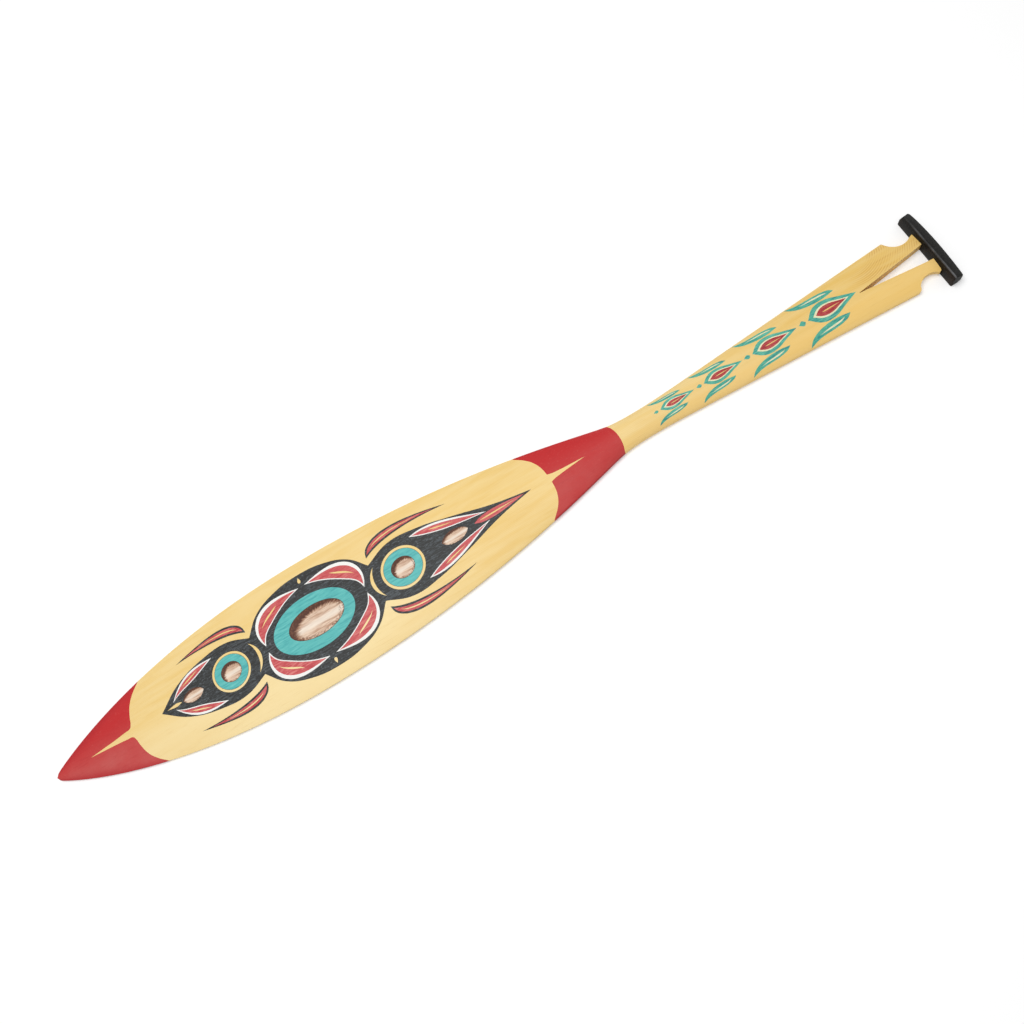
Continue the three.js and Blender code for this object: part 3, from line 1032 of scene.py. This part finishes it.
def prong_curl(tree, place, split):
    """Where a curl in the grain crosses the left prong: its depth round a centre, and where it shows."""
    flat = scaled(tree, vector_node(tree, "SUBTRACT", place, CURL_CENTRE), (1, 1, 0))
    reach = length_of(tree, flat)
    shown = times(tree, mapped(tree, reach, *CURL_REACH), mapped(tree, split["Y"], *CURL_Y))
    return reach, times(tree, shown, mapped(tree, split["X"], *CURL_X))


def cedar_tone(tree, split, band, fibre):
    """How deep the wood's colour is: streaky, warmer in mid paddle, deeper towards the hands."""
    streaks = mapped(tree, band["Fine"], 0.32, 0.7, 0.0, 0.36)
    streaks = plus(tree, streaks, mapped(tree, fibre["Broad"], 0.35, 0.65, -0.05, 0.12))
    warm = times(tree, mapped(tree, split["X"], *WARM_FROM_X), mapped(tree, split["X"], *WARM_TO_X))
    tone = plus(tree, streaks, times(tree, warm, 0.2))
    hand_end = mapped(tree, split["X"], *HAND_END_X, 0.0, 0.62)
    return math_node(tree, "ADD", tone, hand_end, clamp=True)


def cedar_material(name, light, deep):
    """Straight-grained wood: light in the blade, with a painted sheen making its right-hand half paler
    and painted light on the shaft's right-hand flank, deeper towards the hands.
    """
    material, tree, shader, place = new_material(name, 0.5, 0.35)
    band = use_group(tree, FIBRE, {"Place": place, "Fibre Width": 0.009, "Fibre Length": 0.08})
    fibre = use_group(tree, FIBRE, {"Place": place, "Fibre Width": 0.0011, "Fibre Length": 0.035})
    split = axes(tree, place)
    depth = plus(tree, split["Y"], times(tree, split["Z"], 0.4))
    reach, shown = prong_curl(tree, place, split)
    rings, curl = (
        use_group(tree, RINGS, {"Place": place, "Depth": across, "Ring Width": width, "Wander": wander})
        for across, width, wander in ((depth, 0.0023, 0.012), (reach, 0.0033, 0.014))
    )
    # Painted sheen: the blade's right-hand half is paler, mottled by the broad grain.
    wood_sheen = times(tree, mapped(tree, split["Y"], *WOOD_SHEEN_Y), mapped(tree, split["X"], *WOOD_SHEEN_X))
    wood_sheen = times(tree, wood_sheen, mapped(tree, band["Broad"], 0.34, 0.6, 0.8, 0.5))
    # Painted light: the shaft's right-hand flank is lifted as if it were better lit.
    lit_flank = times(tree, mapped(tree, split["Y"], *LIT_FLANK_Y), mapped(tree, split["X"], *LIT_FLANK_X))
    line_strength = mapped(tree, band["Broad"], 0.4, 0.62, 0.05, 0.2)
    straight = times(tree, line_strength, math_node(tree, "SUBTRACT", 1.0, shown))
    line = times(tree, rings["Late Wood"], straight)
    curl_strength = times(tree, shown, mapped(tree, fibre["Broad"], 0.36, 0.62, 0.2, 1.1))
    curl_line = times(tree, curl["Late Wood"], curl_strength)
    pores = mapped(tree, fibre["Fine"], 0.58, 0.8, 0.0, 0.3)
    colour = layered(
        tree, light,
        (cedar_tone(tree, split, band, fibre), deep),
        (wood_sheen, WOOD_SHEEN),
        (times(tree, lit_flank, 0.55), FLANK_PAINTED_LIGHT),
        (plus(tree, line, curl_line), LATE_WOOD),
        (pores, OPEN_PORES),
    )
    rough = mapped(tree, fibre["Fine"], 0.3, 0.7, 0.46, 0.6)
    relief = plus(tree, fibre["Fine"], times(tree, rings["Late Wood"], 0.4))
    finish_surface(tree, shader, colour, relief, 0.0001, rough)
    return material


# The painted ornament's coats: piece, slot, material, its main colour, its colours where thin and in the
# strokes, roughness, gloss, stroke width in metres, and how much thin paint and how many specks show.

COATS = [
    ("blade_red", "red_paint", "blade_red_paint",
     (197, 76, 79), (228, 138, 133), (178, 40, 52), 0.48, 0.4, 0.0026, 0.9, 0.5),
    ("blade_black", "black_paint", "black_paint",
     (40, 41, 40), (112, 120, 126), (24, 24, 24), 0.52, 0.3, 0.0022, 0.45, 0.6),
    ("blade_teal", "teal_paint", "teal_paint",
     (84, 182, 179), (122, 206, 199), (58, 158, 160), 0.5, 0.4, 0.0034, 0.7, 0),
    ("shaft_teal", "teal_paint", "shaft_teal_paint",
     (70, 168, 144), (122, 200, 180), (38, 120, 132), 0.5, 0.4, 0.0018, 0.8, 0.5),
    ("blade_white", "white_paint", "white_paint",
     (247, 247, 243), (252, 252, 249), (236, 235, 228), 0.55, 0.4, 0.0013, 0.6, 0),
    ("shaft_cream", "white_paint", "cream_paint",
     (238, 232, 190), (246, 243, 218), (216, 214, 164), 0.55, 0.4, 0.0013, 0.6, 0),
    ("shaft_red", "red_paint", "shaft_red_paint",
     (170, 46, 50), (206, 104, 98), (134, 26, 38), 0.5, 0.4, 0.0018, 0.8, 0.4),
]


def paint_material(name, main, thin, dark, roughness, gloss, stroke_width, thin_share, speck_share):
    """A brushed coat: dark in its strokes, thinner patches and specks letting a paler tone through."""
    material, tree, shader, place = new_material(name, roughness, gloss)
    marks = use_group(tree, BRUSH, {"Place": place, "Stroke Width": stroke_width})
    fibre = use_group(tree, FIBRE, {"Place": place, "Fibre Width": 0.0009, "Fibre Length": 0.05})
    pale = mapped(tree, marks["Strokes"], 0.47, 0.64, 0.0, thin_share)
    pale = times(tree, pale, mapped(tree, marks["Patches"], 0.35, 0.7, 0.35, 1.0))
    fleck = mapped(tree, marks["Specks"], 0.52, 0.7, 0.0, speck_share)
    low = mapped(tree, marks["Strokes"], 0.49, 0.35, 0.0, 0.8)
    worn = math_node(tree, "MAXIMUM", pale, fleck)
    colour = layered(tree, srgb(*main), (worn, srgb(*thin)), (low, srgb(*dark)))
    rough = mapped(tree, marks["Strokes"], 0.25, 0.75, roughness - 0.06, roughness + 0.14)
    relief = plus(tree, marks["Strokes"], times(tree, fibre["Fine"], 0.7))
    finish_surface(tree, shader, colour, relief, 0.0001, rough)
    return material


# Colours of the red ends: the pale red is a painted sheen towards the near side. The rim is a band of
# painted shade on the sides, as high as the given distances in metres at the tip and the shoulder.

RED_DEEP, RED_SHEEN = srgb(193, 39, 41), srgb(198, 88, 84)
RED_SIDE_SHADE, RED_LOW, RED_FLECK = srgb(176, 30, 38), srgb(170, 30, 36), srgb(214, 104, 96)
SIDE_SHADE_X = (-0.763, 0.23)
SIDE_SHADE_HEIGHT = (0.0048, 0.009)
SIDE_SHADE_FADE = (0.0018, 0.0004)


def red_end_material():
    """Red brushed on thick: deep on the far side, with a painted sheen paler towards the near edge, and
    painted shade on its sides.
    """
    material, tree, shader, place = new_material("red_paint", 0.6, 0.3)
    marks = use_group(tree, BRUSH, {"Place": place, "Stroke Width": 0.003})
    split = axes(tree, place)
    # Painted sheen: the red is paler towards the near edge, more so at the tip end, in clouds.
    near = mapped(tree, split["Y"], 0.032, -0.032)
    near = times(tree, near, mapped(tree, split["X"], 0.0, -0.5, 0.6, 1.0))
    cloud = mapped(tree, marks["Patches"], 0.3, 0.7, 0.6, 1.0)
    # Painted shade: the sides are darker below a height that grows towards the shoulder.
    side_shade_height = mapped(tree, split["X"], *SIDE_SHADE_X, *SIDE_SHADE_HEIGHT)
    above_side_shade = math_node(tree, "SUBTRACT", split["Z"], side_shade_height)
    colour = layered(
        tree, RED_DEEP,
        (times(tree, near, cloud), RED_SHEEN),
        (mapped(tree, above_side_shade, *SIDE_SHADE_FADE, 0.0, 0.75), RED_SIDE_SHADE),
        (mapped(tree, marks["Strokes"], 0.5, 0.3, 0.0, 0.25), RED_LOW),
        (mapped(tree, marks["Specks"], 0.56, 0.76, 0.0, 0.2), RED_FLECK),
    )
    rough = mapped(tree, marks["Strokes"], 0.25, 0.75, 0.55, 0.68)
    finish_surface(tree, shader, colour, marks["Strokes"], 0.00008, rough)
    return material


# Colours of the hollows, from the painted highlight in their middle to their scorched rim, which painted
# shade darkens further on one side, and how far apart the scorched strokes are at the rim in millimetres

HOLLOW_HIGHLIGHT = srgb(252, 240, 224)
HOLLOW_LIGHT, HOLLOW_DARK = srgb(236, 210, 186), srgb(188, 148, 122)
SCORCH_AND_SHADE_LIGHT, SCORCH_AND_SHADE_DARK = srgb(156, 112, 84), srgb(80, 46, 31)
RIM_DOTS, SCORCHED_RIM = srgb(112, 72, 52), srgb(74, 48, 38)
SCORCH_STROKE = 3.6


def hollow_material(name, hollow):
    """Pale gouged wood with a painted highlight along its middle, scorched brown in short strokes where
    its wall is steep, and darker still with painted shade towards the left prong and the tip.
    """
    material, tree, shader, place = new_material(name, 0.6, 0.3)
    local = vector_node(tree, "SUBTRACT", place, spot(hollow["at"], 0))
    half_length, half_across = hollow["length"] / 2 * MM, hollow["width"] / 2 * MM
    unit = scaled(tree, local, (1 / half_length, 1 / half_across, 0))
    reach = length_of(tree, unit)
    split = axes(tree, unit)
    marks_round = math.pi * (half_length + half_across) / (SCORCH_STROKE * MM) / math.tau
    spokes = scaled(tree, vector_node(tree, "NORMALIZE", unit), (marks_round, marks_round, 0))
    spokes = vector_node(tree, "ADD", spokes, joined(tree, z=times(tree, reach, 1.6)))
    hatch = noise_node(tree, spokes, 1.6, 2.0, 0.6)
    streak = noise_node(tree, scaled(tree, local, (26.0, 230.0, 0.0)), 1.0, 3.0, 0.65)
    stipple = noise_node(tree, scaled(tree, local, (340.0, 340.0, 0.0)), 1.0, 1.0)
    # Painted shade: the scorched wall darkens more towards the left prong and the tip.
    toward_shaded_wall = math_node(tree, "SUBTRACT", times(tree, split["Y"], 0.34), times(tree, split["X"], 0.2))
    shade = plus(tree, plus(tree, reach, toward_shaded_wall), times(tree, hatch, 0.5))
    # Painted highlight: a bright band along the middle of the floor.
    from_highlight = math_node(tree, "ABSOLUTE", plus(tree, split["Y"], 0.12))
    dots = times(tree, mapped(tree, reach, 0.74, 0.92), mapped(tree, stipple, 0.48, 0.58))
    colour = layered(
        tree, HOLLOW_LIGHT,
        (mapped(tree, streak, 0.36, 0.64), HOLLOW_DARK),
        (mapped(tree, from_highlight, 0.3, 0.05, 0.0, 0.75), HOLLOW_HIGHLIGHT),
        (mapped(tree, shade, 0.98, 1.14, 0.0, 0.85), SCORCH_AND_SHADE_LIGHT),
        (mapped(tree, shade, 1.1, 1.24), SCORCH_AND_SHADE_DARK),
        (times(tree, dots, 0.75), RIM_DOTS),
        (mapped(tree, reach, 0.96, 1.01), SCORCHED_RIM),
    )
    relief = plus(tree, streak, times(tree, hatch, 0.5))
    finish_surface(tree, shader, colour, relief, 0.00012)
    return material


# Colours of the grip, and where its ridge is rubbed grey and carries a painted highlight: how far from
# the ridge's line, how high, and how far from its left end, in metres. The brown shows on the near face,
# down to a depth.

GRIP_DARK, GRIP_STREAK = srgb(8, 8, 7), srgb(46, 45, 41)
GRIP_THIN, GRIP_FLECK, GRIP_RUBBED_AND_HIGHLIT = srgb(36, 26, 17), srgb(60, 60, 58), srgb(118, 118, 120)
RUB_HIGHLIGHT_WIDTH = (0.0013, 0.0005)
RUB_HIGHLIGHT_HEIGHT = (0.0222, 0.0236)
RUB_HIGHLIGHT_FROM_END = (0.008, 0.026)
NEAR_FACE_DEPTH = (0.0022, 0.0008)


def grip_material():
    """Black paint, rubbed grey and given a painted highlight along the ridge, and thin enough near the
    prongs to show brown.
    """
    material, tree, shader, place = new_material("grip_black", 0.5, 0.09)
    marks = use_group(tree, BRUSH, {"Place": place, "Stroke Width": 0.002})
    split = axes(tree, place)
    ridge_x = grip_low.x + (GRIP_RIDGE_SETBACK + GRIP_RIDGE_FLAT / 2) * MM
    from_ridge = math_node(tree, "ABSOLUTE", math_node(tree, "SUBTRACT", split["X"], ridge_x))
    # Rubbed paint and a painted highlight along the ridge, patchy and fading towards the left end.
    ridge = times(tree, mapped(tree, from_ridge, *RUB_HIGHLIGHT_WIDTH), mapped(tree, split["Z"], *RUB_HIGHLIGHT_HEIGHT))
    rub_highlight_fade = [grip_high.y - distance for distance in RUB_HIGHLIGHT_FROM_END]
    worn = mapped(tree, marks["Patches"], 0.35, 0.65, 0.25, 1.0)
    worn = times(tree, worn, mapped(tree, split["Y"], *rub_highlight_fade, 0.3, 1.0))
    near_face = mapped(tree, split["X"], *(grip_low.x + depth for depth in NEAR_FACE_DEPTH))
    thin = times(tree, near_face, mapped(tree, marks["Patches"], 0.4, 0.62, 0.1, 0.9))
    colour = layered(
        tree, GRIP_DARK,
        (mapped(tree, marks["Strokes"], 0.43, 0.63, 0.0, 0.7), GRIP_STREAK),
        (thin, GRIP_THIN),
        (mapped(tree, marks["Specks"], 0.56, 0.76, 0.0, 0.4), GRIP_FLECK),
        (times(tree, times(tree, ridge, worn), 0.85), GRIP_RUBBED_AND_HIGHLIT),
    )
    rough = mapped(tree, marks["Strokes"], 0.3, 0.7, 0.42, 0.58)
    finish_surface(tree, shader, colour, marks["Strokes"], 0.0001, rough)
    return material


def dress(piece, material, slot):
    piece.data.materials.clear()
    piece.data.materials.append(material)
    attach(piece, "root")


# Camera, floor and light

CAMERA_TARGET = (802.0, -9.4)
CAMERA_DISTANCE = 1310.5
CAMERA_TILT = 18.0
CAMERA_SWING = 2.467
CAMERA_ROLL = -31.129
FOCAL_PIXELS = 882
FRAME_PIXELS = 1024
SENSOR_WIDTH = 36
NEAREST_SEEN = 0.05
FLOOR_SIZE = 8
FLOOR_LEVEL = -0.0001
FLOOR_GREY = 0.85
# The floor glows a little, and more in the distance: how much, and how far from the middle in metres
FLOOR_GLOW = (0.27, 0.64)
FLOOR_GLOW_REACH = (1.1, 2.4)
WORLD_STRENGTH = 0.45
SOFTBOX_PLACE = (-0.2, 0.34, 2.7)
SOFTBOX_WIDTH = 1.7
SOFTBOX_POWER = 44


def add_camera():
    data = bpy.data.cameras.new("camera")
    data.sensor_width = SENSOR_WIDTH
    data.lens = SENSOR_WIDTH * FOCAL_PIXELS / FRAME_PIXELS
    camera = linked("camera", data)
    camera.rotation_mode = "ZYX"
    camera.rotation_euler = [math.radians(turn) for turn in (CAMERA_TILT, CAMERA_SWING, CAMERA_ROLL)]
    back = camera.rotation_euler.to_matrix() @ Vector((0, 0, 1))
    camera.location = spot(*CAMERA_TARGET) + back * CAMERA_DISTANCE * MM
    data.clip_start = NEAREST_SEEN
    bpy.context.scene.camera = camera


def background_rays(tree):
    """One where the background itself is seen, straight on, in a gloss or through something clear."""
    ray = tree.nodes.new("ShaderNodeLightPath").outputs
    seen = math_node(tree, "MAXIMUM", ray["Is Camera Ray"], ray["Is Glossy Ray"])
    return math_node(tree, "MAXIMUM", seen, ray["Is Transmission Ray"])


def add_floor():
    floor = added(bpy.ops.mesh.primitive_plane_add, size=FLOOR_SIZE, location=(0, 0, FLOOR_LEVEL))
    floor.name = "pale_floor"
    material, tree, shader, place = new_material("pale_floor", 1.0, 0.0)
    glow = mapped(tree, length_of(tree, place), *FLOOR_GLOW_REACH, *FLOOR_GLOW)
    feed(tree, shader, {
        "Base Color": (FLOOR_GREY, FLOOR_GREY, FLOOR_GREY, 1),
        "Emission Color": (1, 1, 1, 1),
        "Emission Strength": times(tree, background_rays(tree), glow),
    })
    floor.data.materials.append(material)


def add_softbox():
    data = bpy.data.lights.new("softbox", "AREA")
    data.shape = "DISK"
    data.size = SOFTBOX_WIDTH
    data.energy = SOFTBOX_POWER
    light = linked("softbox", data)
    light.location = SOFTBOX_PLACE
    light.rotation_euler = (-Vector(SOFTBOX_PLACE)).to_track_quat("-Z", "Y").to_euler()


def add_world():
    world = bpy.data.worlds.new("studio")
    world.use_nodes = True
    tree = world.node_tree
    strength = mapped(tree, background_rays(tree), 0.0, 1.0, WORLD_STRENGTH, 1.0)
    feed(tree, tree.nodes["Background"], {"Color": (1, 1, 1, 1), "Strength": strength})
    bpy.context.scene.world = world


bpy.context.scene.view_settings.view_transform = "Standard"
add_camera()
add_floor()
add_softbox()
add_world()

cedar = cedar_material("cedar", CEDAR_LIGHT, CEDAR_DEEP)
red = red_end_material()
coat_finish = {name: (paint_material(*look), slot) for name, slot, *look in COATS}
grip_black = grip_material()
dowel_wood = cedar_material("dowel_wood", DOWEL_LIGHT, DOWEL_DEEP)

body = carve_body()
red_tip, red_shoulder = red_ends(body)
body_finish = [(body, cedar, "cedar"), (red_tip, red, "red_paint"), (red_shoulder, red, "red_paint")]
for piece, material, slot in body_finish:
    smooth(piece, WOOD_ANGLE)
    dress(piece, material, slot)
    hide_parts("paddle_body")
for name, piece in {**paint_blade(), **paint_shaft()}.items():
    dress(piece, *coat_finish[name])
for name, hollow in HOLLOWS.items():
    dress(hollow_lining(name, hollow), hollow_material(name, hollow), "scorched_wood")

grip = shape_grip()
dress(grip, grip_black, "black_paint")
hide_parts("cross_grip")
for side in ("left", "right"):
    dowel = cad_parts[f"grip_dowel_{side}"]
    dowel.data.materials.clear()
    dowel.data.materials.append(dowel_wood)
